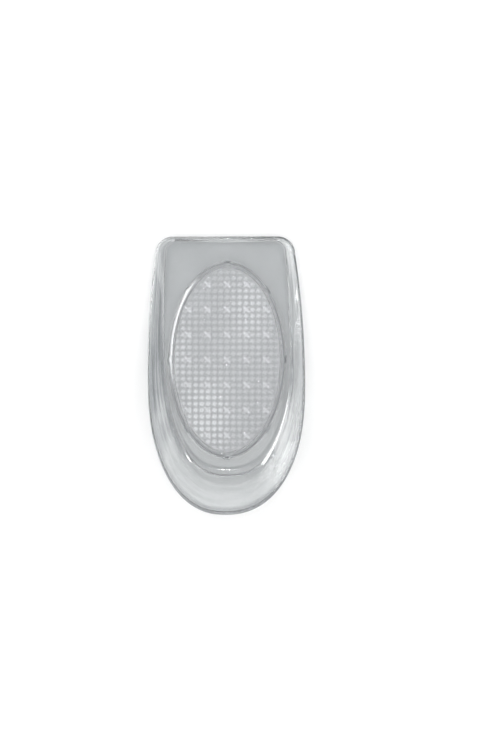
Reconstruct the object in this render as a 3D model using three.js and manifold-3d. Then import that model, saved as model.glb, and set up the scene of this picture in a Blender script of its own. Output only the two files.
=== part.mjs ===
// A heel cup of clear, soft gel, as it lies in a shoe under the heel.
// Units are millimetres, +Z is up, +Y points to the flat front edge and -Y to the back of the heel.
// The origin is under the middle of the cup, on the surface that it rests on.

import * as THREE from "three";
import { ParametricGeometry } from "three/addons/geometries/ParametricGeometry.js";
import { mergeVertices } from "three/addons/utils/BufferGeometryUtils.js";
import Module from "manifold-3d";

const wasm = await Module();
wasm.setup();

// Size of the cup, over its rim
const LENGTH = 114;
const WIDTH = 65;
const FRONT_WIDTH = 54;
const WIDEST_FROM_HEEL = 51;
const CORNER_RADIUS = 5.8;

// How far the flared wall leans out past the footprint
const HEEL_OVERHANG = 14.6;
const SIDE_OVERHANG = 6.4;
const FRONT_OVERHANG = 1.6;

// Wall
const HEEL_HEIGHT = 25;
const FRONT_HEIGHT = 4;
const RIM_THICKNESS = 1.6;
const HEEL_FOOT = 3.8;
const SIDE_FOOT = 0.9;
const FRONT_FOOT = 0.9;
const BASE_CHAMFER = 0.5;

// Floor, a wedge that is thickest under the heel
const HEEL_FLOOR = 6;
const FRONT_FLOOR = 2.8;

// Plain floor that is left round the oval pad
const HEEL_MARGIN = 8.4;
const SIDE_MARGIN = 2.35;
const FRONT_MARGIN = 11;

// Oval pad
const PAD_CLEARANCE = 0.3;
const STUD_PITCH = 2.6;
const STUD_WIDTH = 1.9;
const STUD_HEIGHT = 0.55;
const STUD_BORDER = 1.6;
const HOLLOW_DEPTH = 1.3;
const HOLLOW_BORDER = 3;
const POINT_PITCH_ACROSS = 8.1;
const POINT_PITCH_ALONG = 10.4;
const POINT_WIDTH = 5.2;
const POINT_LIFT = 0.2;
const LUG_COUNT = 8;
const LUG_WIDTH = 2.4;
const LUG_REACH = 0.8;
const LUG_DEPTH = 1.6;

// Shape of the curves: 2 is an ellipse, more is squarer
const RIM_POWER = 2.27;
const FOOTPRINT_POWER = 2.5;
const TAPER_POWER = 1.9;
const OUTER_WALL_POWER = 1.25;
const INNER_WALL_POWER = 1.7;
const BEZIER_ARC = 0.55;

// Number of facets
const HEEL_STEPS = 18;
const SIDE_STEPS = 14;
const CORNER_STEPS = 5;
const FRONT_STEPS = 4;
const OVAL_STEPS = 72;
const PYRAMID_SIDES = 4;

// Where a section has its points: shares of the way up the outer wall, of the turn over the rim, and of
// the way down the inner wall
const OUTER_WALL_SHARES = [0, 0.18, 0.4, 0.65, 0.85];
const RIM_TURNS = [0, 0.25, 0.5, 0.75, 1];
const INNER_WALL_SHARES = [0.86, 0.7, 0.52, 0.34, 0.17, 0];

// Points closer together than this are one point
const MERGE_DISTANCE = 1e-4;

// Places that follow from the sizes
const BACK_Y = -LENGTH / 2;
const PAD_LENGTH = LENGTH - HEEL_OVERHANG - HEEL_MARGIN - FRONT_MARGIN;
const PAD_WIDTH = WIDTH - 2 * (SIDE_OVERHANG + SIDE_MARGIN);
const PAD_Y = BACK_Y + HEEL_OVERHANG + HEEL_MARGIN + PAD_LENGTH / 2;

// Share of the way from the back of the heel, 0, to the front edge, 1.
const along = (y) => THREE.MathUtils.clamp((y - BACK_Y) / LENGTH, 0, 1);

// A size that changes smoothly from the heel over the sides to the front edge.
function blend(y, heel, side, front) {
  const s = along(y);
  if (s < 0.5) return THREE.MathUtils.lerp(heel, side, THREE.MathUtils.smoothstep(s, 0, 0.5));
  return THREE.MathUtils.lerp(side, front, THREE.MathUtils.smoothstep(s, 0.5, 1));
}

// Height of the rim: a long S-shaped sweep from the heel down to the front edge.
function rimHeight(y) {
  const fall = (1 - Math.cos(Math.PI * along(y))) / 2;
  return THREE.MathUtils.lerp(HEEL_HEIGHT, FRONT_HEIGHT, fall);
}

// Height of the floor's upper face.
const floorHeight = (y) => THREE.MathUtils.lerp(HEEL_FLOOR, FRONT_FLOOR, along(y));

// The right half of an outline seen from above, from the middle of the heel to the middle of the front edge.
// The heel is a rounded curve to the widest place, the side tapers to the front, and an arc turns the corner.
function halfOutline({ back, front, widestY, half, frontHalf, power, corner }) {
  const points = [];
  for (let i = 0; i < HEEL_STEPS; i++) {
    const turn = ((i / HEEL_STEPS) * Math.PI) / 2;
    const x = half * Math.sin(turn) ** (2 / power);
    const y = widestY - (widestY - back) * Math.cos(turn) ** (2 / power);
    points.push(new THREE.Vector2(x, y));
  }
  const sideX = (y) => half - (half - frontHalf) * ((y - widestY) / (front - widestY)) ** TAPER_POWER;
  const cornerY = front - corner;
  for (let i = 0; i < SIDE_STEPS; i++) {
    const y = THREE.MathUtils.lerp(widestY, cornerY, i / SIDE_STEPS);
    points.push(new THREE.Vector2(sideX(y), y));
  }
  const start = new THREE.Vector2(sideX(cornerY), cornerY);
  const end = new THREE.Vector2(frontHalf - corner, front);
  const arc = new THREE.CubicBezierCurve(
    start,
    new THREE.Vector2(sideX(cornerY + corner * BEZIER_ARC), cornerY + corner * BEZIER_ARC),
    new THREE.Vector2(end.x + corner * BEZIER_ARC, front),
    end,
  );
  points.push(...arc.getPoints(CORNER_STEPS).slice(0, CORNER_STEPS));
  for (let i = 0; i <= FRONT_STEPS; i++) {
    points.push(new THREE.Vector2(THREE.MathUtils.lerp(end.x, 0, i / FRONT_STEPS), front));
  }
  return points;
}

// A whole outline: the right half, then the left half as its mirror image on the way back to the heel.
function outline(sizes) {
  const right = halfOutline(sizes);
  const left = right.slice(1, -1).reverse();
  return [...right, ...left.map((p) => new THREE.Vector2(-p.x, p.y))];
}

const rimOutline = outline({
  back: BACK_Y,
  front: BACK_Y + LENGTH,
  widestY: BACK_Y + WIDEST_FROM_HEEL,
  half: WIDTH / 2,
  frontHalf: FRONT_WIDTH / 2,
  power: RIM_POWER,
  corner: CORNER_RADIUS,
});

const footprintOutline = outline({
  back: BACK_Y + HEEL_OVERHANG,
  front: BACK_Y + LENGTH - FRONT_OVERHANG,
  widestY: BACK_Y + (WIDEST_FROM_HEEL + HEEL_OVERHANG),
  half: WIDTH / 2 - SIDE_OVERHANG,
  frontHalf: FRONT_WIDTH / 2 - 2 * FRONT_OVERHANG,
  power: FOOTPRINT_POWER,
  corner: CORNER_RADIUS - FRONT_OVERHANG,
});

// The point where the straight line from the pad's middle to a place leaves the oval, grown by a clearance.
function ovalPoint(towards, grown) {
  const direction = towards.clone().sub(new THREE.Vector2(0, PAD_Y));
  const halfWidth = PAD_WIDTH / 2 + grown;
  const halfLength = PAD_LENGTH / 2 + grown;
  const reach = 1 / Math.hypot(direction.x / halfWidth, direction.y / halfLength);
  return new THREE.Vector2(0, PAD_Y).addScaledVector(direction, reach);
}

// One cut through the wall and the floor: a closed ring of points, from the footprint up the outside,
// over the rounded rim, down the inside to the floor, along it to the oval window and back below.
function wallSection(station) {
  const rim = rimOutline[station];
  const foot = footprintOutline[station];
  const inward = foot.clone().sub(rim).normalize();
  const height = rimHeight(rim.y);
  const shoulder = height - RIM_THICKNESS / 2;
  const innerRim = rim.clone().addScaledVector(inward, RIM_THICKNESS);
  const footWidth = blend(rim.y, HEEL_FOOT, SIDE_FOOT, FRONT_FOOT);
  const innerFoot = foot.clone().addScaledVector(inward, footWidth);
  const windowEdge = ovalPoint(innerFoot, PAD_CLEARANCE);
  const innerFloor = floorHeight(innerFoot.y);
  const at = (flat, z) => new THREE.Vector3(flat.x, flat.y, z);

  const section = [at(foot.clone().addScaledVector(inward, BASE_CHAMFER), 0)];
  for (const share of OUTER_WALL_SHARES) {
    const lean = 1 - (1 - share) ** OUTER_WALL_POWER;
    const z = THREE.MathUtils.lerp(BASE_CHAMFER, shoulder, share);
    section.push(at(foot.clone().lerp(rim, lean), z));
  }
  for (const turn of RIM_TURNS) {
    const across = (1 - Math.cos(turn * Math.PI)) / 2;
    const z = shoulder + (height - shoulder) * Math.sin(turn * Math.PI);
    section.push(at(rim.clone().lerp(innerRim, across), z));
  }
  for (const share of INNER_WALL_SHARES) {
    const z = THREE.MathUtils.lerp(innerFloor, shoulder, share ** INNER_WALL_POWER);
    section.push(at(innerFoot.clone().lerp(innerRim, share), z));
  }
  section.push(at(windowEdge, floorHeight(windowEdge.y)));
  section.push(at(windowEdge, 0));
  return section;
}

// A closed surface from rings of points: ring after ring, and the last one meets the first.
function closedRings(rings) {
  const count = rings[0].length;
  const pick = (u, v, target) => {
    const ring = rings[Math.round(u * rings.length) % rings.length];
    target.copy(ring[Math.round(v * count) % count]);
  };
  return new ParametricGeometry(pick, rings.length, count);
}

// A geometry as a solid that can be joined and cut. A face order that points inwards is turned round.
function solid(geometry) {
  const bare = geometry.clone();
  bare.deleteAttribute("normal");
  bare.deleteAttribute("uv");
  const merged = mergeVertices(bare, MERGE_DISTANCE);
  const make = (triVerts) =>
    new wasm.Manifold(
      new wasm.Mesh({ numProp: 3, vertProperties: merged.attributes.position.array, triVerts }),
    );
  const order = Uint32Array.from(merged.index.array);
  const made = make(order);
  return made.volume() > 0 ? made : make(order.reverse());
}

// A solid as a mesh that can be shown.
function mesh(name, body, material) {
  const { vertProperties, triVerts } = body.getMesh();
  const geometry = new THREE.BufferGeometry();
  geometry.setAttribute("position", new THREE.BufferAttribute(vertProperties, 3));
  geometry.setIndex(new THREE.BufferAttribute(triVerts, 1));
  geometry.computeVertexNormals();
  const made = new THREE.Mesh(geometry, material);
  made.name = name;
  return made;
}

// An upright oval plate round the pad's middle, from a flat bottom to a top whose height is given along Y.
function ovalPlate(inset, bottom, topAt) {
  const shape = new THREE.Shape();
  shape.absellipse(0, PAD_Y, PAD_WIDTH / 2 - inset, PAD_LENGTH / 2 - inset, 0, 2 * Math.PI);
  const plate = new THREE.ExtrudeGeometry(shape, { depth: 1, bevelEnabled: false, curveSegments: OVAL_STEPS });
  const place = plate.attributes.position;
  for (let i = 0; i < place.count; i++) {
    const top = place.getZ(i) > 0.5;
    place.setZ(i, top ? topAt(place.getY(i)) : bottom);
  }
  return solid(plate);
}

// Places of an even grid, centred on the oval, whose points of a given width stay clear of its border.
function gridInOval(pitchX, pitchY, border, width) {
  const places = [];
  const halfWidth = PAD_WIDTH / 2 - border - width / 2;
  const halfLength = PAD_LENGTH / 2 - border - width / 2;
  const columns = Math.floor(halfWidth / pitchX);
  const rows = Math.floor(halfLength / pitchY);
  for (let row = -rows; row <= rows; row++) {
    for (let column = -columns; column <= columns; column++) {
      const x = column * pitchX;
      const y = row * pitchY;
      if (Math.hypot(x / halfWidth, y / halfLength) <= 1) places.push(new THREE.Vector2(x, PAD_Y + y));
    }
  }
  return places;
}

// The locating lugs on the pad's edge, or the open notches that hold them when they are grown.
// Each is a block across the edge, from its depth below the floor's upper face to a height above it.
function lugs(grown, above) {
  const made = [];
  for (let i = 0; i < LUG_COUNT; i++) {
    const turn = (i / LUG_COUNT) * 2 * Math.PI;
    const towards = new THREE.Vector2(PAD_WIDTH * Math.cos(turn), PAD_Y + PAD_LENGTH * Math.sin(turn));
    const edge = ovalPoint(towards, 0);
    const tall = LUG_DEPTH + grown + above;
    const lug = new THREE.BoxGeometry(2 * (LUG_REACH + grown), LUG_WIDTH + 2 * grown, tall);
    lug.rotateZ(turn);
    lug.translate(edge.x, edge.y, floorHeight(edge.y) + above - tall / 2);
    made.push(solid(lug));
  }
  return wasm.Manifold.union(made);
}

// A four-sided point with its tip up, whose base is of a given width where it leaves the face that it
// stands on. It reaches on below that face, so that the two join. The face is at height 0.
function pyramid(width, height) {
  const sunk = height / 2;
  const halfDiagonal = (width / Math.SQRT2) * ((height + sunk) / height);
  const cone = new THREE.ConeGeometry(halfDiagonal, height + sunk, PYRAMID_SIDES);
  cone.rotateX(Math.PI / 2);
  cone.rotateZ(Math.PI / 4);
  cone.translate(0, 0, (height - sunk) / 2);
  return cone;
}

// The massage surface: low studs in even rows on the pad's upper face.
function studs() {
  const one = solid(pyramid(STUD_WIDTH, STUD_HEIGHT));
  return gridInOval(STUD_PITCH, STUD_PITCH, STUD_BORDER, STUD_WIDTH).map((place) =>
    one.translate([place.x, place.y, floorHeight(place.y)]),
  );
}

// The cushion points, which hang in the hollow of the underside and end just clear of the ground.
function cushionPoints() {
  const one = solid(pyramid(POINT_WIDTH, HOLLOW_DEPTH - POINT_LIFT).rotateX(Math.PI));
  return gridInOval(POINT_PITCH_ACROSS, POINT_PITCH_ALONG, HOLLOW_BORDER, POINT_WIDTH).map((place) =>
    one.translate([place.x, place.y, HOLLOW_DEPTH]),
  );
}

const shellGel = new THREE.MeshStandardMaterial({
  color: 0xdde4e3,
  roughness: 0.18,
  metalness: 0,
  transparent: true,
  opacity: 0.5,
});

const padGel = new THREE.MeshStandardMaterial({
  color: 0xd9dadd,
  roughness: 0.25,
  metalness: 0,
  transparent: true,
  opacity: 0.6,
});

function cupBody() {
  const rings = rimOutline.map((_, station) => wallSection(station));
  const shell = solid(closedRings(rings));
  return mesh("cup_body", shell.subtract(lugs(PAD_CLEARANCE, HEEL_FLOOR)), shellGel);
}

function heelPad() {
  const plate = ovalPlate(0, 0, floorHeight);
  const hollow = ovalPlate(HOLLOW_BORDER, -HOLLOW_DEPTH, () => HOLLOW_DEPTH);
  const body = plate.subtract(hollow).add(lugs(0, 0));
  return mesh("heel_pad", wasm.Manifold.union([body, ...studs(), ...cushionPoints()]), padGel);
}

const heelCup = new THREE.Group();
heelCup.add(cupBody());
heelCup.add(heelPad());

export default heelCup;
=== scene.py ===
# %% [markdown]
# # A heel cup of clear gel
# The cup is poured in clear silicone and has an oval window in its floor, which a softer, studded pad
# fills. Both are see-through, so almost all that the eye reads is bent light. A bump map could hint at the
# edges and grooves, but only gel that is really thicker or thinner bends what lies behind it. So both pieces
# are built as dense closed meshes from formulas. The shader adds the finest waves, and paints light and
# shade on the points.

# %% Load the frame
import math

import bmesh
import bpy
import numpy as np
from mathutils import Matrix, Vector


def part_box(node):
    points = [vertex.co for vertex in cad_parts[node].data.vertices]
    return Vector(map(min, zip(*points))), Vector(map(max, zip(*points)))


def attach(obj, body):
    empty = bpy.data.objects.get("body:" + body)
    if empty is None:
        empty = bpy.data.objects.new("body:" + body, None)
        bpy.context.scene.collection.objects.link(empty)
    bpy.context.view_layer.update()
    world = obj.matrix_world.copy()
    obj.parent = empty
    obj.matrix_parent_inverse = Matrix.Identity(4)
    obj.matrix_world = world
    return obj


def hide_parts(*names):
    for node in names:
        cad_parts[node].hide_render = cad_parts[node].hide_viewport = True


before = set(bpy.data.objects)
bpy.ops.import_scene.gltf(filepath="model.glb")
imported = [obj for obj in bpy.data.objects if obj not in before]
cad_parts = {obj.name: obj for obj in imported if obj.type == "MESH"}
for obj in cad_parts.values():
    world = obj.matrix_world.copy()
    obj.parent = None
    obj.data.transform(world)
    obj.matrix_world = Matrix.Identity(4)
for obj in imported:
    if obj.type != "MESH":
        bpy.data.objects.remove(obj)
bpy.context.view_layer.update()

# %% [markdown]
# ## Driving sizes
# All sizes could be typed in, but the overall length, width and height are read from the frame, so that the
# shown cup can't drift away from the solid one. The rest are the cup's own sizes, such as how far the wall
# leans out past the footprint. Blender counts in metres, so they are written as so many millimetres.

# %% Driving sizes
MM = 0.001
cup_low, cup_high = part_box("cup_body")

BACK_Y = cup_low[1]
LENGTH = cup_high[1] - cup_low[1]
WIDTH = cup_high[0] - cup_low[0]
HEEL_HEIGHT = cup_high[2]
FRONT_WIDTH = 54 * MM
WIDEST_FROM_HEEL = 51 * MM
CORNER_RADIUS = 5.8 * MM

HEEL_OVERHANG = 14.6 * MM
SIDE_OVERHANG = 6.4 * MM
FRONT_OVERHANG = 1.6 * MM

FRONT_HEIGHT = 4 * MM
RIM_THICKNESS = 1.6 * MM
HEEL_FLOOR = 6 * MM
FRONT_FLOOR = 2.8 * MM
print(f"cup {1000 * LENGTH:.1f} x {1000 * WIDTH:.1f} x {1000 * HEEL_HEIGHT:.1f} mm")

# %% [markdown]
# ## Soft changes
# Hardly any size stays the same along a poured gel wall. Drawn curves could hold the changes, but two short
# helpers are enough: one blends in a straight line, the other in a soft S with no corner at either end.

# %% Two helpers for blends
def mix(start, end, share):
    """start at share 0, end at share 1, and a straight line between."""
    return start + (end - start) * share


def smooth(x, low, high):
    """0 below low, 1 above high, and an S-curve between."""
    t = np.clip((x - low) / (high - low), 0, 1)
    return t * t * (3 - 2 * t)


print("an S-curve in five steps:", [round(float(v), 2) for v in smooth(np.linspace(0, 1, 5), 0, 1)])

# %% [markdown]
# ## Outlines seen from above
# The rim and the footprint are two loops of one kind: a superellipse round the heel, sides that taper to the
# front, and a rounded corner. They could be drawn by hand as Bezier curves, but a formula gives as many
# points as the mesh needs, and matching points on both loops, so that walls can be lofted between them.

# %% A rounded corner
BEZIER_ARC = 0.55


def bezier(points, t):
    """Points of a cubic Bezier at the shares t."""
    a, b, c, d = [np.array(p)[None, :] for p in points]
    t = t[:, None]
    return (1 - t) ** 3 * a + 3 * (1 - t) ** 2 * t * b + 3 * (1 - t) * t**2 * c + t**3 * d


print(f"handles of a round corner: {BEZIER_ARC:.0%} of its radius")

# %% A half outline, then the whole one
HEEL_STEPS, SIDE_STEPS, CORNER_STEPS, FRONT_STEPS = 90, 64, 16, 26
RIM_POWER = 2.27
FOOTPRINT_POWER = 2.5
TAPER_POWER = 2.0


def outline(back, front, widest_y, half, front_half, power, corner):
    """A closed loop of points from the back of the heel, over the right side, round to the left."""
    turn = np.linspace(0, math.pi / 2, HEEL_STEPS, endpoint=False)
    heel = np.stack(
        [half * np.sin(turn) ** (2 / power), widest_y - (widest_y - back) * np.cos(turn) ** (2 / power)], 1
    )

    def side_x(y):
        return mix(half, front_half, ((y - widest_y) / (front - widest_y)) ** TAPER_POWER)

    corner_y = front - corner
    side_y = np.linspace(widest_y, corner_y, SIDE_STEPS, endpoint=False)
    side = np.stack([side_x(side_y), side_y], 1)
    reach = corner * BEZIER_ARC
    arc = bezier(
        [
            (side_x(corner_y), corner_y),
            (side_x(corner_y + reach), corner_y + reach),
            (front_half - corner + reach, front),
            (front_half - corner, front),
        ],
        np.linspace(0, 1, CORNER_STEPS, endpoint=False),
    )
    edge_x = np.linspace(front_half - corner, 0, FRONT_STEPS + 1)
    edge = np.stack([edge_x, np.full_like(edge_x, front)], 1)
    right = np.concatenate([heel, side, arc, edge])
    left = right[1:-1][::-1] * np.array([-1, 1])
    return np.concatenate([right, left])


print("points on a half outline:", HEEL_STEPS + SIDE_STEPS + CORNER_STEPS + FRONT_STEPS + 1)

# %% [markdown]
# Soft gel never lies quite true. The left half of this cup is about 1.5 mm narrower near the heel, and as
# much wider near the front, than its right half. So the left half of both loops is scaled by how far along
# the cup it is. A Lattice modifier could do this too, but it would bend the oval window along with the wall.

# %% A little askew
SKEW = 1.25
SKEW_FROM = 8 * MM


def askew(loop):
    """Narrows the left half of a loop towards the heel and widens it towards the front."""
    x, y = loop.T
    return np.stack([np.where(x < 0, x * (1 + SKEW * (y - SKEW_FROM)), x), y], 1)


print(f"the left half changes its width by {SKEW / 10:.1%} for each 100 mm along the cup")

# %% The rim
rim_line = askew(
    outline(
        BACK_Y,
        BACK_Y + LENGTH,
        BACK_Y + WIDEST_FROM_HEEL,
        WIDTH / 2,
        FRONT_WIDTH / 2,
        RIM_POWER,
        CORNER_RADIUS,
    )
)
print("stations round the cup:", len(rim_line))
print(f"rim from x {1000 * rim_line[:, 0].min():.1f} to {1000 * rim_line[:, 0].max():.1f} mm")

# %% The footprint
foot_line = askew(
    outline(
        BACK_Y + HEEL_OVERHANG,
        BACK_Y + LENGTH - FRONT_OVERHANG,
        BACK_Y + WIDEST_FROM_HEEL + HEEL_OVERHANG,
        WIDTH / 2 - SIDE_OVERHANG,
        FRONT_WIDTH / 2 - 2 * FRONT_OVERHANG,
        FOOTPRINT_POWER,
        CORNER_RADIUS - FRONT_OVERHANG,
    )
)
print(f"footprint from x {1000 * foot_line[:, 0].min():.1f} to {1000 * foot_line[:, 0].max():.1f} mm")

# %% [markdown]
# ## The oval and its lugs
# The pad is an ellipse with eight small lugs that sit in notches of the cup. A boolean could cut the window
# with a slightly larger copy of the pad. Here both edges use one function instead, so the seam between the
# two gels has the same width everywhere, and the points stay in step with those of the wall.

# %% Sizes of the oval
PAD_CLEARANCE = 0.3 * MM
LUG_COUNT = 8
LUG_WIDTH = 2.4 * MM
LUG_REACH = 0.6 * MM
LUG_ROUND = 0.5 * MM
LUG_DEPTH = 1.6 * MM
HEEL_MARGIN = 8.4 * MM
FRONT_MARGIN = 11 * MM
SIDE_MARGIN = 2.35 * MM

PAD_LENGTH = LENGTH - HEEL_OVERHANG - HEEL_MARGIN - FRONT_MARGIN
PAD_WIDTH = WIDTH - 2 * (SIDE_OVERHANG + SIDE_MARGIN)
PAD_MIDDLE = np.array([0.0, BACK_Y + HEEL_OVERHANG + HEEL_MARGIN + PAD_LENGTH / 2])
print(f"pad {1000 * PAD_WIDTH:.1f} x {1000 * PAD_LENGTH:.1f} mm, middle at y {1000 * PAD_MIDDLE[1]:.1f} mm")

# %% The oval's edge, with lugs where they are asked for
def oval_points(towards, grown, lugs=False):
    """Where the lines from the pad's middle to these places cross the oval, grown by a clearance."""
    way = towards - PAD_MIDDLE
    half = np.array([PAD_WIDTH, PAD_LENGTH]) / 2 + grown
    edge = way / np.hypot(way[:, 0] / half[0], way[:, 1] / half[1])[:, None]
    if not lugs:
        return PAD_MIDDLE + edge
    # how far each place is from its nearest lug, whose middles lie evenly round the oval
    turns = np.arange(LUG_COUNT) * 2 * math.pi / LUG_COUNT
    spots = np.stack([np.cos(turns) * PAD_WIDTH, np.sin(turns) * PAD_LENGTH], 1)
    spots /= np.hypot(spots[:, 0] / half[0], spots[:, 1] / half[1])[:, None]
    away = np.min(np.linalg.norm(edge[:, None, :] - spots[None, :, :], axis=2), 1)
    side = LUG_WIDTH / 2 + grown
    bulge = 1 - smooth(away, side - LUG_ROUND, side + LUG_ROUND)
    outward = edge / np.linalg.norm(edge, axis=1)[:, None]
    return PAD_MIDDLE + edge + outward * (bulge * LUG_REACH)[:, None]


notch_reach = oval_points(rim_line, 0.0, lugs=True) - oval_points(rim_line, 0.0)
print(f"lugs reach {1000 * np.linalg.norm(notch_reach, axis=1).max():.2f} mm past the oval")

# %% [markdown]
# ## Heights along the cup
# The rim sweeps down from the heel to the front in one long S, and the floor is a wedge that is thickest
# under the heel. A drawn side view could hold both lines. As functions of Y they can be asked anywhere, so
# every loop takes its own heights from them.

# %% Heights and blended sizes
HEEL_FOOT = 3.8 * MM
SIDE_FOOT = 0.9 * MM
FRONT_FOOT = 0.9 * MM


def along(y):
    """Share of the way from the back of the heel, 0, to the front edge, 1."""
    return np.clip((y - BACK_Y) / LENGTH, 0, 1)


def rim_height(y):
    """Height of the rim, one half of a cosine wave from the heel to the front."""
    return mix(HEEL_HEIGHT, FRONT_HEIGHT, (1 - np.cos(math.pi * along(y))) / 2)


def floor_height(y):
    """Height of the floor that the heel stands on."""
    return mix(HEEL_FLOOR, FRONT_FLOOR, along(y))


def blend(y, heel, side, front):
    """A size that changes smoothly from the heel over the sides to the front edge."""
    s = along(y)
    return np.where(s < 0.5, mix(heel, side, smooth(s, 0, 0.5)), mix(side, front, smooth(s, 0.5, 1)))


print(f"halfway along, the rim is {1000 * rim_height(0.0):.1f} mm high")
print(f"halfway along, the floor is {1000 * floor_height(0.0):.1f} mm thick")

# %% [markdown]
# ## Meshes from loops
# Both pieces are closed solids of gel. Light is bent where it enters and leaves, so one gap or one face
# turned inwards would show as a dark patch. Primitives and modifiers could be the start, but here each point
# has its own place. So the helpers make a smooth-shaded object from bare points and faces, turn all its
# faces outwards, and print whether it is closed.

# %% A mesh object, turned outwards
def mesh_object(name, verts, faces):
    """A smooth-shaded mesh object at the origin."""
    mesh = bpy.data.meshes.new(name)
    mesh.from_pydata([tuple(v) for v in verts], [], [tuple(f) for f in faces])
    mesh.update()
    mesh.shade_smooth()
    piece = bpy.data.objects.new(name, mesh)
    bpy.context.collection.objects.link(piece)
    return piece


def turned_out(piece):
    """Makes all faces point outwards."""
    work = bmesh.new()
    work.from_mesh(piece.data)
    bmesh.ops.recalc_face_normals(work, faces=work.faces)
    if work.calc_volume(signed=True) < 0:
        bmesh.ops.reverse_faces(work, faces=work.faces)
    volume = work.calc_volume()
    open_edges = sum(1 for e in work.edges if len(e.link_faces) != 2)
    work.to_mesh(piece.data)
    work.free()
    print(f"{piece.name}: {len(piece.data.polygons)} faces, {volume * 1e6:.2f} cm3, {open_edges} open edges")
    return piece


print("meshes so far, all from the frame:", len(bpy.data.meshes))

# %% A ring of faces
def ring_faces(loops, count):
    """Quads between neighbouring loops of count points each, and between the last loop and the first."""
    faces = []
    for k in range(loops):
        here, there = k * count, (k + 1) % loops * count
        for i in range(count):
            j = (i + 1) % count
            faces.append((here + i, here + j, there + j, there + i))
    return faces


print("quads round a ring of 3 loops with 4 points each:", len(ring_faces(3, 4)))

# %% [markdown]
# ## The cup's shell
# On the real cup this is one pour of gel with a soft, rolled rim. It could be a sheet with a Solidify
# modifier, but then the wall would be equally thick everywhere, and a gel wall is thin at the rim and thick
# at its foot. So each station, which is one point of the outline, gets its own closed section, and all
# sections are joined to a ring that goes right round the cup.

# %% Where the section of each station starts and ends
rim_y = rim_line[:, 1]
inward = foot_line - rim_line
inward /= np.linalg.norm(inward, axis=1)[:, None]
top_height = rim_height(rim_y)
shoulder = top_height - RIM_THICKNESS / 2
inner_rim = rim_line + inward * RIM_THICKNESS
foot_width = blend(rim_y, HEEL_FOOT, SIDE_FOOT, FRONT_FOOT)
inner_foot = foot_line + inward * foot_width[:, None]
inner_floor = floor_height(inner_foot[:, 1])
print(f"the wall's foot is {1000 * foot_width.min():.1f} to {1000 * foot_width.max():.1f} mm wide")

# %% [markdown]
# ## How pale the gel looks: painted light and shade
# Thick gel, steep walls and lit edges let through different shares of the light, and that is what tells
# the parts of a clear cup from each other. It could all be left to the renderer, or painted on an image. But
# the loops know where each point lies, so a formula paints the light and shade on the points instead, as a
# number for each, its paleness: 0 is the deepest painted shade, 1 is nearly clear, and above 1 a painted
# highlight turns the gel milky white, as on an edge that catches light.

# %% Paleness of the wall at each station
# Painted light and shade: the greys of the floor, the crease and the wall, set region by region
FLOOR_PALENESS, CREASE_SHADE = 0.49, 0.27
HEEL_PALENESS, SIDE_PALENESS, FRONT_PALENESS = 0.76, 0.47, 0.53
HEEL_FADE = (0.05, 0.35)
# painted light: the wall is paler on the right and darker on the left
SIDE_LIGHT_SHIFT = 0.16
# painted highlights: soft pale spots on the walls
PAINTED_WALL_HIGHLIGHTS = [  # place across and along the cup, half width, half length, gain
    (27 * MM, -34 * MM, 9 * MM, 17 * MM, 0.85),
    (26 * MM, 49 * MM, 5 * MM, 8 * MM, 0.28),
    (-28 * MM, -22 * MM, 3 * MM, 5 * MM, 0.5),
    (-24 * MM, -36 * MM, 3 * MM, 4 * MM, 0.4),
]


def glow(x, y, spot):
    """A soft spot of painted light: its gain in the middle, fading away over its half sizes."""
    spot_x, spot_y, half_x, half_y, gain = spot
    return gain * np.exp(-(((x - spot_x) / half_x) ** 2) - ((y - spot_y) / half_y) ** 2)


near_heel = 1 - smooth(along(rim_y), *HEEL_FADE)
to_right = rim_line[:, 0] / (WIDTH / 2)
wall_pale = blend(rim_y, HEEL_PALENESS, SIDE_PALENESS, FRONT_PALENESS)
wall_pale = wall_pale + SIDE_LIGHT_SHIFT * to_right * (1 - near_heel)
wall_pale = wall_pale + sum(glow(rim_line[:, 0], rim_y, spot) for spot in PAINTED_WALL_HIGHLIGHTS)
print(f"paleness of the wall: {wall_pale.min():.2f} to {wall_pale.max():.2f}")

# %% [markdown]
# The light comes from the upper left, so the edges on that side are painted pale, and those on the other
# side dark. Faint light and dark streaks are also painted along the wall. A wave texture could draw them, but
# it would cut straight through the cup. Two slow waves that change from loop to loop follow the wall instead,
# and they are weaker at the heel.

# %% Lit edges and streaks
# Painted light and shade on the rim by the way it faces the light; above 1 it is a painted highlight
LIT_FROM = np.array([-0.9, 0.44])
LIT_MEAN, LIT_CONTRAST, LIT_LIMIT = 0.5, 0.95, 1.2
ARC_FROM = np.array([-0.956, 0.292])
ARC_FADE = (0.86, 0.985)
STREAK_STRENGTH = 0.54
CALM_HEEL = 0.75
STREAK_WAVES = [  # waves across the loops, sway, bends round the cup, drift
    (1.1, 1.9, 3, 0.7),
    (2.3, 1.3, 5, 1.1),
]
ROUND_CUP = np.linspace(0, 2 * math.pi, len(rim_line), endpoint=False)

lit_edge = np.clip(LIT_MEAN - LIT_CONTRAST * inward @ LIT_FROM, 0, LIT_LIMIT)


def facing_light(edge):
    """How far places on the oval's edge face the light, from 0 to 1."""
    way = (edge - PAD_MIDDLE) / np.array([PAD_WIDTH, PAD_LENGTH]) ** 2
    way /= np.linalg.norm(way, axis=1)[:, None]
    return smooth(way @ ARC_FROM, *ARC_FADE)


def streaks(loop):
    """Slow light and dark lines painted along the wall, at one of its loops."""
    waves = [
        np.sin(across * loop + sway * np.sin(bends * ROUND_CUP + drift * loop))
        for across, sway, bends, drift in STREAK_WAVES
    ]
    return STREAK_STRENGTH * (1 - CALM_HEEL * near_heel) * sum(waves) / len(waves)


print(f"streaks reach {np.abs(streaks(0)).max():.2f}, and {(lit_edge > 1).sum()} stations have a lit edge")

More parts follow.
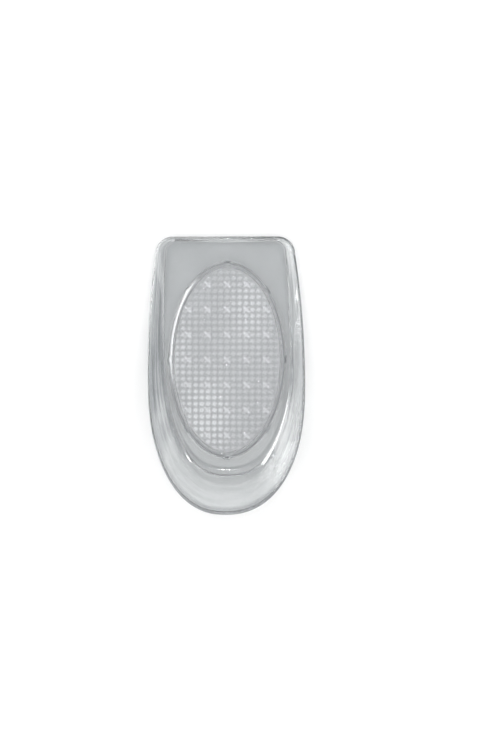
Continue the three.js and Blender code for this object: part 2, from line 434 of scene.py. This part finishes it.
# %% [markdown]
# ## From the footprint to the rim
# The outside bulges gently from the rounded edge of the base to the rim, and the rim is half a circle. Bevel
# modifiers could round both edges, but on a see-through wall their extra points would have to match the
# inside. Each loop here is simply the whole outline at one height.

# %% The outer wall
BASE_ROUND = 0.5 * MM
BASE_LOOPS, OUTER_LOOPS = 4, 16
OUTER_WALL_POWER = 1.25
FOOT_FADE, EDGE_FADE = (0, 0.3), (0.75, 0.9)
shell_loops = []
shell_pales = []


def add_loop(flat, z, pale=FLOOR_PALENESS):
    """Adds one loop round the cup, with its height and its paleness."""
    shell_loops.append(np.column_stack([flat, np.broadcast_to(z, len(flat))]))
    shell_pales.append(np.broadcast_to(pale, len(flat)))


for turn in np.linspace(0, math.pi / 2, BASE_LOOPS, endpoint=False):
    add_loop(foot_line + inward * (BASE_ROUND * (1 - math.sin(turn))), BASE_ROUND * (1 - math.cos(turn)))
for k, share in enumerate(np.linspace(0, 1, OUTER_LOOPS, endpoint=False)):
    lean = 1 - (1 - share) ** OUTER_WALL_POWER
    # painted light and shade: the wall's greys and streaks, and near the rim those of the lit edges
    pale = mix(FLOOR_PALENESS, wall_pale + streaks(k), smooth(share, *FOOT_FADE))
    pale = mix(pale, lit_edge, smooth(share, *EDGE_FADE))
    add_loop(mix(foot_line, rim_line, lean), mix(BASE_ROUND, shoulder, share), pale)
print("loops up to the rim:", len(shell_loops))

# %% The rolled rim
RIM_LOOPS = 11
RIM_FADE = (0.6, 0.9)

for turn in np.linspace(0, math.pi, RIM_LOOPS):
    across = (1 - math.cos(turn)) / 2
    # painted light and shade of the lit edges, fading to clear on the inner half of the rim
    pale = mix(lit_edge, 1, smooth(across, *RIM_FADE))
    add_loop(mix(rim_line, inner_rim, across), mix(shoulder, top_height, math.sin(turn)), pale)
print(f"rim {1000 * RIM_THICKNESS:.1f} mm thick, {1000 * top_height.max():.1f} mm high at the heel")

# %% [markdown]
# ## From the rim down to the crease
# Inside, the wall falls steeply and then runs out in a wide fillet, so that the heel lies in a bowl. A bevel
# would give that fillet one radius. A power curve starts almost flat at the floor and grows steeper all the
# way up, as a poured wall does. The dark line at its foot, along the crease, is painted shade.

# %% The inner wall
INNER_LOOPS = 22
INNER_WALL_POWER = 1.7
STREAK_START = 7
CREASE_FADE = (0, 0.2)
# Painted light: a pale band on the right wall near its rim
RIGHT_LIGHT_BAND = 0.08  # how much paler the right wall is near its rim
BAND_FADE = (0.4, 0.9)

for k, share in enumerate(np.linspace(1, 0, INNER_LOOPS + 1)[1:]):
    band = RIGHT_LIGHT_BAND * np.clip(to_right, 0, 1) * (1 - near_heel) * smooth(share, *BAND_FADE)
    wall = wall_pale + streaks(k + STREAK_START) + band
    # painted shade darkens the crease at the wall's foot
    pale = mix(CREASE_SHADE, wall, smooth(share, *CREASE_FADE))
    add_loop(mix(inner_foot, inner_rim, share), mix(inner_floor, shoulder, share**INNER_WALL_POWER), pale)
print(f"crease {1000 * inner_floor.min():.1f} to {1000 * inner_floor.max():.1f} mm high")

# %% [markdown]
# ## The floor and its window
# The floor is a band between the crease and the oval. It could be one flat face with a hole, but the loops of
# the wall simply run on to the window, and the shading stays smooth. The window's upper edge is rounded, and
# its notches end on a small ledge, below which the wall of the window is a plain oval.

# %% The floor
FLOOR_LOOPS = 5
WINDOW_ROUND = 0.5 * MM
ROUND_SHARE = 0.5
# Painted light: the floor is paler towards the heel
HEEL_FLOOR_LIGHT = 0.55

window = oval_points(inner_foot, PAD_CLEARANCE, lugs=True)
plain_window = oval_points(inner_foot, PAD_CLEARANCE)
to_window = window - inner_foot
floor_reach = np.linalg.norm(to_window, axis=1)
window_edge = window - to_window * np.minimum(WINDOW_ROUND / floor_reach, ROUND_SHARE)[:, None]
for share in np.linspace(0, 1, FLOOR_LOOPS)[1:]:
    flat = mix(inner_foot, window_edge, share)
    add_loop(flat, floor_height(flat[:, 1]), FLOOR_PALENESS + HEEL_FLOOR_LIGHT * near_heel)
print(f"floor round the window: {1000 * floor_reach.min():.1f} to {1000 * floor_reach.max():.1f} mm wide")

# %% The window
WINDOW_LOOPS = 5
LEDGE_DROP = 0.05 * MM
BASE_TUCK = 0.02

window_top = floor_height(window[:, 1])
# painted highlight: the window's rounded edge is paler where it faces the light
lip = mix(FLOOR_PALENESS, 1, facing_light(window))
for turn in np.linspace(0, math.pi / 2, WINDOW_LOOPS)[1:]:
    add_loop(mix(window_edge, window, math.sin(turn)), window_top - WINDOW_ROUND * (1 - math.cos(turn)), lip)
ledge = window_top - LUG_DEPTH - PAD_CLEARANCE
add_loop(window, ledge)
add_loop(plain_window, ledge - LEDGE_DROP)
add_loop(plain_window, ledge / 2)
add_loop(plain_window, BASE_ROUND / 2)
add_loop(mix(plain_window, inner_foot, BASE_TUCK), 0.0)
print("loops in all:", len(shell_loops))

# %% [markdown]
# ## The shell in one piece
# All loops now become one mesh. The Bridge tool could join them, but quads that are written straight from the
# numbers of the loops keep the order of the points, so that each point still has its own paleness.

# %% The shell in one piece
def keep_paleness(piece, values):
    """Stores the painted light and shade of each point, its paleness, for its material."""
    piece.data.attributes.new("paleness", "FLOAT", "POINT").data.foreach_set("value", values)


cup = mesh_object("gel_cup", np.concatenate(shell_loops), ring_faces(len(shell_loops), len(rim_line)))
keep_paleness(cup, np.concatenate(shell_pales))
turned_out(cup)
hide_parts("cup_body")
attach(cup, "root")

# %% [markdown]
# ## The pad's studded face
# The massage face has even rows of small rounded studs, almost up to its edge. They could be an array of
# little domes, but loose domes inside a clear plate show their hidden undersides. So the face is one height
# field on a fine lattice, and each stud rises out of it in a smooth curve.

# %% A lattice that fills the oval
STUD_PITCH = 2.6 * MM
LATTICE_BORDER = 0.9 * MM
STEPS_PER_STUD = 9
MIDDLE_SHARE = 0.01


def inside_edge(x, y):
    """Roughly how far a place, measured from the middle of the oval, lies inside the oval's edge."""
    share = np.hypot(x / (PAD_WIDTH / 2), y / (PAD_LENGTH / 2))
    radius = np.hypot(x, y) / np.maximum(share, MIDDLE_SHARE)
    return (1 - share) * np.where(share > MIDDLE_SHARE, radius, PAD_WIDTH / 2)


def lattice():
    """Points and quads of a square lattice, as far as it lies inside the oval's border."""
    step = STUD_PITCH / STEPS_PER_STUD
    wide, long = int(PAD_WIDTH / 2 / step) + 1, int(PAD_LENGTH / 2 / step) + 1
    x, y = np.meshgrid(np.arange(-wide, wide + 1), np.arange(-long, long + 1), indexing="ij")
    within = inside_edge(x * step, y * step) > LATTICE_BORDER
    whole = within[:-1, :-1] & within[1:, :-1] & within[1:, 1:] & within[:-1, 1:]
    number = {}
    quads = []
    for i, j in np.argwhere(whole):
        corners = [(i, j), (i + 1, j), (i + 1, j + 1), (i, j + 1)]
        quads.append([number.setdefault(c, len(number)) for c in corners])
    return (np.array(list(number)) - [wide, long]) * step, quads


grid, grid_faces = lattice()
print("lattice points:", len(grid), "quads:", len(grid_faces))

# %% The stepped border of the lattice
def border_loop(faces):
    """The one closed loop of points round the outside of these quads."""
    edges = {(f[i], f[(i + 1) % 4]) for f in faces for i in range(4)}
    after = {a: b for a, b in edges if (b, a) not in edges}
    start = at = min(after)
    loop = []
    while True:
        loop.append(at)
        at = after[at]
        if at == start:
            return loop


border = np.array(border_loop(grid_faces))
print("stations round the pad:", len(border))

# %% [markdown]
# ## Studs
# Each stud is a soft pillow. A Displace modifier could raise them from an image of dots, but a formula keeps
# them alike: a product of two cosines has their shape, and a power below 1 makes the tops flatter and the
# grooves sharper. Towards the edge of the pad the studs fade into a smooth border.

# %% The height of the studs
STUD_HEIGHT = 0.42 * MM
STUD_POWER = 0.7
STUD_BORDER = 2.0 * MM
STUD_FADE = 1.3 * MM


def pillow(x, y):
    """1 on top of a stud, 0 in the grooves, and a smooth curve between."""
    return np.abs(np.cos(math.pi * x / STUD_PITCH) * np.cos(math.pi * y / STUD_PITCH))


def stud_share(x, y):
    """How far the studs have their full height: they fade out towards the pad's edge."""
    return smooth(inside_edge(x, y), STUD_BORDER, STUD_BORDER + STUD_FADE)


def stud_rise(x, y):
    """Height of the studs at places measured from the middle of the oval."""
    return STUD_HEIGHT * stud_share(x, y) * pillow(x, y) ** STUD_POWER


print(f"studs up to {1000 * stud_rise(*grid.T).max():.2f} mm high, {1000 * STUD_PITCH:.1f} mm apart")

# %% [markdown]
# ## Crosses
# Coarse points under the pad cushion the heel, and above each of them the face has a soft cross with four
# arms. The arms could be small separate strips, but as one more height over the same lattice they melt into
# the studs. Two of the four arms are painted with a highlight where they face the light.

# %% Where the cushion points are
POINT_PITCH_ACROSS = 8.1 * MM
POINT_PITCH_ALONG = 10.4 * MM
POINT_WIDTH = 5.2 * MM


def cushion_cells():
    """Columns and rows of the cushion points that stay clear of the pad's border."""
    half_x = PAD_WIDTH / 2 - LATTICE_BORDER - POINT_WIDTH / 2
    half_y = PAD_LENGTH / 2 - LATTICE_BORDER - POINT_WIDTH / 2
    columns, rows = int(half_x / POINT_PITCH_ACROSS), int(half_y / POINT_PITCH_ALONG)
    return [
        (column, row)
        for row in range(-rows, rows + 1)
        for column in range(-columns, columns + 1)
        if math.hypot(column * POINT_PITCH_ACROSS / half_x, row * POINT_PITCH_ALONG / half_y) <= 1
    ]


point_cells = cushion_cells()
print("cushion points:", len(point_cells))

# %% The height of the crosses
CROSS_HEIGHT = 0.45 * MM
CROSS_ARM = 2.4 * MM
CROSS_WIDTH = 0.95 * MM
CROSS_CORE = 0.5
DULL_ARM = 0.45


def cross_rise(x, y):
    """Height of the soft crosses in the face, one above each point of the underside."""
    rise = np.zeros_like(x)
    for column, row in point_cells:
        across = np.abs(x - column * POINT_PITCH_ACROSS)
        up = np.abs(y - row * POINT_PITCH_ALONG)
        arm = 1 - smooth(np.hypot(across, up), CROSS_CORE * CROSS_ARM, CROSS_ARM)
        ridge = np.clip(1 - (np.abs(across - up) / CROSS_WIDTH) ** 2, 0, 1)
        rise = np.maximum(rise, CROSS_HEIGHT * arm * ridge)
    return rise


def lit_arm(x, y):
    """1 near the arms of a cross that get a painted highlight, and less near the other two."""
    across = x - POINT_PITCH_ACROSS * np.round(x / POINT_PITCH_ACROSS)
    up = y - POINT_PITCH_ALONG * np.round(y / POINT_PITCH_ALONG)
    return np.where(across * up < 0, 1, DULL_ARM)


print(f"crosses up to {1000 * cross_rise(*grid.T).max():.2f} mm high")

# %% [markdown]
# ## The underside of the pad
# Below, a shallow hollow holds the grid of coarse, four-sided points. They could be four-sided cones set into
# the hollow, but the lattice is already there, so the underside is a second height field on the same lines.

# %% The height field of the hollow and its points
HOLLOW_DEPTH = 1.3 * MM
HOLLOW_BORDER = 1.4 * MM
HOLLOW_SLOPE = 0.8 * MM
POINT_LIFT = 0.2 * MM


def under_height(x, y):
    """Height of the pad's lower face, at places measured from the middle of the oval."""
    hollow = HOLLOW_DEPTH * smooth(inside_edge(x, y), HOLLOW_BORDER, HOLLOW_BORDER + HOLLOW_SLOPE)
    reach = np.full_like(x, POINT_WIDTH / 2)
    for column, row in point_cells:
        across = np.abs(x - column * POINT_PITCH_ACROSS)
        up = np.abs(y - row * POINT_PITCH_ALONG)
        reach = np.minimum(reach, np.maximum(across, up))
    drop = (HOLLOW_DEPTH - POINT_LIFT) * (1 - reach / (POINT_WIDTH / 2))
    return np.maximum(hollow - drop, 0)


print(f"the hollow is {1000 * under_height(*grid.T).max():.1f} mm deep")
print(f"its points end {1000 * POINT_LIFT:.1f} mm above the ground")

# %% [markdown]
# ## The pad's edge
# From the stepped border of the lattice, each point goes straight out to the oval, where the edge rounds over
# and runs down past the lugs to the underside, and back in to the border of the lower lattice. A boolean cut
# would leave long thin triangles here, and they would show as scratches in the clear gel.

# %% Loops of the edge
PAD_ROUND = 1.0 * MM
EDGE_LOOPS, FOOT_LOOPS = 8, 5


def pad_loops(start):
    """Loops of the pad's edge, from the border of its upper lattice round to that of its lower one."""
    edge = oval_points(start, 0.0, lugs=True)
    inner = oval_points(start, -PAD_ROUND, lugs=True)
    loops = []

    def add(flat, z):
        loops.append(np.column_stack([flat, np.broadcast_to(z, len(flat))]))

    top = floor_height(edge[:, 1])
    for turn in np.linspace(0, math.pi / 2, EDGE_LOOPS):
        add(mix(inner, edge, math.sin(turn)), top - PAD_ROUND * (1 - math.cos(turn)))
    add(edge, top - LUG_DEPTH)
    add(oval_points(start, 0.0), top - LUG_DEPTH - LEDGE_DROP)
    for turn in np.linspace(0, math.pi / 2, FOOT_LOOPS):
        add(oval_points(start, -BASE_ROUND * (1 - math.cos(turn))), BASE_ROUND * (1 - math.sin(turn)))
    return loops


place = grid + PAD_MIDDLE
edge_loops = pad_loops(place[border])
print("loops round the pad:", len(edge_loops))

# %% [markdown]
# ## The pad in one piece
# The face, the underside and the edge could be three objects, but light would be bent once more at every gap
# between them. As one closed mesh they are one body of gel.

# %% The pad in one piece
face_height = floor_height(place[:, 1]) + np.maximum(stud_rise(*grid.T), cross_rise(*grid.T))
above = np.column_stack([place, face_height])
below = np.column_stack([place, under_height(*grid.T)])
count, stations = len(grid), len(border)
rows = [border]
rows += [2 * count + k * stations + np.arange(stations) for k in range(len(edge_loops))]
rows += [count + border]
pad_faces = grid_faces + [[count + v for v in reversed(face)] for face in grid_faces]
for here, there in zip(rows, rows[1:]):
    for i in range(stations):
        j = (i + 1) % stations
        pad_faces.append((here[j], here[i], there[i], there[j]))
pad = mesh_object("gel_pad", np.concatenate([above, below] + edge_loops), pad_faces)
print("points of the pad:", len(pad.data.vertices))

# %% [markdown]
# ## How pale the pad looks
# Painted highlights make the studs pale, and painted shade greys the grooves between them. Where the face
# shines, mostly at the lower left, the painted difference is largest. The crosses get painted highlights too,
# and the rounded edge has a painted white highlight in an arc at the upper left. All this could be painted by
# hand on the points, but the formulas that raise the studs also know where each one is, so every stud stays
# crisp however soft the light is.

# %% Paleness of the face
# Painted light and shade: highlights on the studs and crosses, shade in the grooves
DOT_POWER = 2.0
DOT_MEAN = 0.25
FACE_PALENESS = 0.31
DULL_CONTRAST = 0.3
SHINE_LIFT = 0.28
CROSS_GAIN = 0.8
CROSS_POWER = 1.2
# painted shine: soft spots where the studs are painted brighter
PAINTED_SHINE_SPOTS = [  # place across and along the pad, half width, half length, gain
    (-9 * MM, -24 * MM, 9 * MM, 15 * MM, 1.1),
    (9 * MM, 22 * MM, 8 * MM, 14 * MM, 0.5),
    (-20 * MM, 4 * MM, 5 * MM, 16 * MM, 0.55),
]


def face_paleness(x, y):
    """How pale the face looks, from 0 for painted shade in a groove to 1 for a painted highlight on a stud.
    """
    dot = stud_share(x, y) * (pillow(x, y) ** DOT_POWER - DOT_MEAN)
    shine = sum(glow(x, y, spot) for spot in PAINTED_SHINE_SPOTS)
    cross = CROSS_GAIN * lit_arm(x, y) * (cross_rise(x, y) / CROSS_HEIGHT) ** CROSS_POWER
    return np.clip(FACE_PALENESS + SHINE_LIFT * shine + (DULL_CONTRAST + shine) * dot + cross, 0, 1)


face_pale = face_paleness(*grid.T)
print(f"paleness of the face: {face_pale.min():.2f} to {face_pale.max():.2f}, mean {face_pale.mean():.2f}")

# %% Paleness of the edge and the underside
# Painted shade: a dark line round the pad's edge; painted highlight: a white arc where it faces the light
EDGE_SHADE = 0.3
ARC_HIGHLIGHT = 2.0
UNDERSIDE_PALENESS = 1.0
DARK_AFTER = 3

pad_pale = np.full(len(pad.data.vertices), UNDERSIDE_PALENESS)
pad_pale[:count] = face_pale
lit_arc = facing_light(place[border])
for k in range(EDGE_LOOPS):
    first = 2 * count + k * stations
    dark = mix(FACE_PALENESS, EDGE_SHADE, smooth(k, 0, DARK_AFTER))
    pad_pale[first : first + stations] = mix(dark, ARC_HIGHLIGHT, lit_arc)
keep_paleness(pad, pad_pale)

turned_out(pad)
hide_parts("heel_pad")
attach(pad, "root")

# %% [markdown]
# ## Clear gel
# Silicone gel bends light a little less than glass, with an index of 1.41. It is a touch milky, so about a
# tenth of the light scatters at its faces, and its tacky skin shines like a thin coat. A Volume Absorption
# node could darken it with depth, but that brings noise, and the greys are easier to set on the faces.

# %% The clear body and its shiny skin
GEL_INDEX = 1.41
SKIN_INDEX = 1.6


def clear_gel(name, clear, skin):
    """A gel of which the share clear lets light through, with a skin of this roughness."""
    material = bpy.data.materials.new(name)
    material.use_nodes = True
    shader = material.node_tree.nodes["Principled BSDF"]
    shader.inputs["Transmission Weight"].default_value = clear
    shader.inputs["IOR"].default_value = GEL_INDEX
    shader.inputs["Coat Weight"].default_value = 1.0
    shader.inputs["Coat IOR"].default_value = SKIN_INDEX
    shader.inputs["Coat Roughness"].default_value = skin
    return material


print(f"light bends by {GEL_INDEX} in the gel and by {SKIN_INDEX} in its skin")

# %% [markdown]
# Moulded gel is never quite even. One noise with clouds of about a centimetre changes both its haze and
# its grey, and a finer one makes slow waves of a few millimetres in its gloss. Image textures could do the
# same, but noise in object space has no seams and needs no unwrapping.

# %% Clouds of haze
CLOUD_SCALE, CLOUD_DETAIL = 90.0, 3.0


def noise(material, scale, detail):
    """A noise texture in object space, and its one value."""
    nodes, links = material.node_tree.nodes, material.node_tree.links
    space = nodes.new("ShaderNodeTexCoord")
    texture = nodes.new("ShaderNodeTexNoise")
    texture.inputs["Scale"].default_value = scale
    texture.inputs["Detail"].default_value = detail
    links.new(space.outputs["Object"], texture.inputs["Vector"])
    return texture.outputs["Fac"]


def add_haze(material, cloud, least, most):
    """Lets the roughness of the gel go from least to most with the clouds."""
    nodes, links = material.node_tree.nodes, material.node_tree.links
    spread = nodes.new("ShaderNodeMapRange")
    spread.inputs["To Min"].default_value = least
    spread.inputs["To Max"].default_value = most
    links.new(cloud, spread.inputs["Value"])
    links.new(spread.outputs["Result"], nodes["Principled BSDF"].inputs["Roughness"])


print(f"clouds about {1000 / CLOUD_SCALE:.0f} mm wide")

# %% Waves in the gloss
WAVE_SCALE, WAVE_DETAIL = 320.0, 2.0
WAVE_HEIGHT = 0.2 * MM


def add_waves(material, strength):
    """Slow waves in the surface, too low to model."""
    nodes, links = material.node_tree.nodes, material.node_tree.links
    bump = nodes.new("ShaderNodeBump")
    bump.inputs["Strength"].default_value = strength
    bump.inputs["Distance"].default_value = WAVE_HEIGHT
    links.new(noise(material, WAVE_SCALE, WAVE_DETAIL), bump.inputs["Height"])
    links.new(bump.outputs["Normal"], nodes["Principled BSDF"].inputs["Normal"])


print(f"waves about {1000 / WAVE_SCALE:.0f} mm wide")

# %% [markdown]
# The paleness of each point picks a grey between a deep and a pale one. A Mix node could blend the two as
# well, but a Color Ramp also stops at both ends, whatever the clouds add. Light passes a face on its way in
# and another on its way out, so each grey counts more than once. Above 1, paleness takes the clearness away
# instead, which leaves milky white as a painted highlight.

# %% From paleness to colour and painted highlights
HIGHLIGHT_CLEARNESS = 0.2


def add_paleness(material, cloud, clouds, deep, pale):
    """Colours the gel from deep at paleness 0 to pale at 1, and paints a milky white highlight from 1 to 2.
    """
    nodes, links = material.node_tree.nodes, material.node_tree.links
    shader = nodes["Principled BSDF"]
    paleness = nodes.new("ShaderNodeAttribute")
    paleness.attribute_name = "paleness"

    cloudy = nodes.new("ShaderNodeMath")
    cloudy.operation = "MULTIPLY_ADD"
    cloudy.inputs[1].default_value = clouds
    links.new(cloud, cloudy.inputs[0])
    links.new(paleness.outputs["Fac"], cloudy.inputs[2])
    ramp = nodes.new("ShaderNodeValToRGB")
    ramp.color_ramp.elements[0].color = (*deep, 1)
    ramp.color_ramp.elements[1].color = (*pale, 1)
    links.new(cloudy.outputs["Value"], ramp.inputs["Fac"])
    links.new(ramp.outputs["Color"], shader.inputs["Base Color"])

    highlight_white = nodes.new("ShaderNodeMapRange")
    highlight_white.inputs["From Min"].default_value = 1.0
    highlight_white.inputs["From Max"].default_value = 2.0
    highlight_white.inputs["To Min"].default_value = shader.inputs["Transmission Weight"].default_value
    highlight_white.inputs["To Max"].default_value = HIGHLIGHT_CLEARNESS
    links.new(paleness.outputs["Fac"], highlight_white.inputs["Value"])
    links.new(highlight_white.outputs["Result"], shader.inputs["Transmission Weight"])


# the milkiest gel is where the painted highlight is strongest
print(f"the milkiest gel is {HIGHLIGHT_CLEARNESS:.0%} clear")

# %% The two gels
# In both gels, deep is the colour of the deepest painted shade, and pale that of nearly clear gel.
shell_gel = clear_gel("shell_gel", clear=0.9, skin=0.13)
shell_cloud = noise(shell_gel, CLOUD_SCALE, CLOUD_DETAIL)
add_haze(shell_gel, shell_cloud, least=0.02, most=0.1)
add_waves(shell_gel, strength=0.08)
add_paleness(shell_gel, shell_cloud, clouds=0.14, deep=(0.27, 0.289, 0.308), pale=(0.94, 0.96, 0.965))
cup.data.materials.append(shell_gel)

pad_gel = clear_gel("pad_gel", clear=0.88, skin=0.1)
pad_cloud = noise(pad_gel, CLOUD_SCALE, CLOUD_DETAIL)
add_haze(pad_gel, pad_cloud, least=0.08, most=0.16)
add_waves(pad_gel, strength=0.02)
add_paleness(pad_gel, pad_cloud, clouds=0.12, deep=(0.188, 0.198, 0.214), pale=(0.935, 0.95, 0.965))
pad.data.materials.append(pad_gel)
for gel in (shell_gel, pad_gel):
    print(f"{gel.name}: {len(gel.node_tree.nodes)} nodes")

# %% [markdown]
# ## Floor
# The cup lies on plain white paper. A curved backdrop could hide the horizon, but seen from above there is
# none, so one large square is enough. It lies a hair below the cup, so that its face never meets the
# underside of the gel.

# %% White paper
FLOOR_SIZE = 3.0
FLOOR_GAP = 0.02 * MM
PAPER_WHITE = 0.9
PAPER_ROUGHNESS = 0.9

floor = mesh_object(
    "floor",
    [(sx * FLOOR_SIZE, sy * FLOOR_SIZE, -FLOOR_GAP) for sx, sy in ((-1, -1), (1, -1), (1, 1), (-1, 1))],
    [(0, 1, 2, 3)],
)
paper = bpy.data.materials.new("white_paper")
paper.use_nodes = True
paper_shader = paper.node_tree.nodes["Principled BSDF"]
paper_shader.inputs["Base Color"].default_value = (PAPER_WHITE,) * 3 + (1,)
paper_shader.inputs["Roughness"].default_value = PAPER_ROUGHNESS
floor.data.materials.append(paper)
print(f"paper {2 * FLOOR_SIZE:.0f} m wide")

# %% [markdown]
# ## Even light
# A studio for clear things has bright, even walls. Here the world is that light: bright overhead and darker
# towards the horizon, so that steep walls and round edges pick up darker lines. A few large lamps could do
# it too, but each would leave its own hard spots on the paper under the gel.

# %% The world
ZENITH, HORIZON = 1.5, 0.14
FULL_HEIGHT = 0.7

world = bpy.data.worlds.new("studio")
bpy.context.scene.world = world
world.use_nodes = True
sky_nodes, sky_links = world.node_tree.nodes, world.node_tree.links
sky_nodes["Background"].inputs["Color"].default_value = (1, 1, 1, 1)
way_up = sky_nodes.new("ShaderNodeTexCoord")
parts = sky_nodes.new("ShaderNodeSeparateXYZ")
sky_links.new(way_up.outputs["Generated"], parts.inputs["Vector"])
fade = sky_nodes.new("ShaderNodeMapRange")
fade.inputs["From Min"].default_value = 0.0
fade.inputs["From Max"].default_value = FULL_HEIGHT
fade.inputs["To Min"].default_value = HORIZON
fade.inputs["To Max"].default_value = ZENITH
sky_links.new(parts.outputs["Z"], fade.inputs["Value"])
sky_links.new(fade.outputs["Result"], sky_nodes["Background"].inputs["Strength"])
print(f"light {ZENITH} overhead and {HORIZON} at the horizon")

# %% [markdown]
# ## Softboxes
# Highlights draw the shapes of clear gel. Bare bulbs would leave hard dots and square lamps hard corners, so
# the softboxes are round. Four weak ones stand round the camera and give the face a soft sheen. The low one
# is for the arc of the oval and the right wall, the rim one for the left rim, the streak one for the left
# wall, and the small glint for one bright spot in the crease. They are seen in shiny faces only: if they
# shone through the gel on the paper too, it would be full of bright patches.

# %% A softbox
BOX_DISTANCE = 0.9


def softbox(name, turn, tilt, size, brightness):
    """A round area light that faces the cup and is seen in shiny faces only. Its watts grow with its area,
    so that its face is as bright as asked at any size."""
    data = bpy.data.lights.new(name, "AREA")
    data.shape = "DISK"
    data.size = size
    data.energy = brightness * math.pi * (math.pi * size**2 / 4)
    lamp = bpy.data.objects.new(name, data)
    turn, tilt = math.radians(turn), math.radians(tilt)
    way = Vector((math.sin(tilt) * math.cos(turn), math.sin(tilt) * math.sin(turn), math.cos(tilt)))
    lamp.location = BOX_DISTANCE * way
    lamp.rotation_euler = way.to_track_quat("Z", "Y").to_euler()
    lamp.visible_diffuse = False
    lamp.visible_transmission = False
    bpy.context.collection.objects.link(lamp)
    return lamp


print(f"softboxes stand {BOX_DISTANCE} m from the middle of the cup")

# %% The softboxes
SOFTBOXES = {  # turn round the cup and tilt from straight above in degrees, width in metres, brightness
    "front": (100, 28, 0.4, 0.5),
    "left": (190, 28, 0.4, 1.8),
    "back": (280, 28, 0.4, 1.8),
    "right": (10, 28, 0.4, 1.8),
    "rim": (185, 66, 0.25, 10),
    "low": (153, 74, 0.55, 7.5),
    "streak": (40, 76, 0.12, 16),
    "glint": (95, 21, 0.022, 220),
}

for name, values in SOFTBOXES.items():
    lamp = softbox(name, *values)
    print(f"{name}: {lamp.data.energy:.2f} W")

# %% [markdown]
# ## Camera
# The camera looks straight down, a touch from the right. It could be placed by eye, but one pixel of the
# picture is 0.41 mm, and with the distance that gives the lens. The place of the cup's middle in the picture
# gives the aim. A long lens from far away keeps the tall heel wall from leaning outwards.

# %% The camera
FRAME_WIDTH_PX, FRAME_HEIGHT_PX = 500, 750
PHOTO_SCALE = 0.41 * MM
CUP_PX = (226.1, 374.2)
SENSOR_MM = 24
CAMERA_DISTANCE = 1.0
CAMERA_TILT = math.radians(2)
LOOK_HEIGHT = 12 * MM

camera_data = bpy.data.cameras.new("camera")
camera = bpy.data.objects.new("camera", camera_data)
bpy.context.collection.objects.link(camera)
camera_data.sensor_fit = "VERTICAL"
camera_data.sensor_height = SENSOR_MM
camera_data.lens = SENSOR_MM * CAMERA_DISTANCE / (FRAME_HEIGHT_PX * PHOTO_SCALE)
aim_x = (FRAME_WIDTH_PX / 2 - CUP_PX[0]) * PHOTO_SCALE
aim_y = (CUP_PX[1] - FRAME_HEIGHT_PX / 2) * PHOTO_SCALE
aim = Vector((aim_x, aim_y, LOOK_HEIGHT))
camera.location = aim + CAMERA_DISTANCE * Vector((math.sin(CAMERA_TILT), 0, math.cos(CAMERA_TILT)))
camera.rotation_euler = (0, CAMERA_TILT, 0)
bpy.context.scene.camera = camera
bpy.context.scene.view_settings.view_transform = "Standard"
print(f"lens {camera_data.lens:.1f} mm at {CAMERA_DISTANCE:.1f} m")
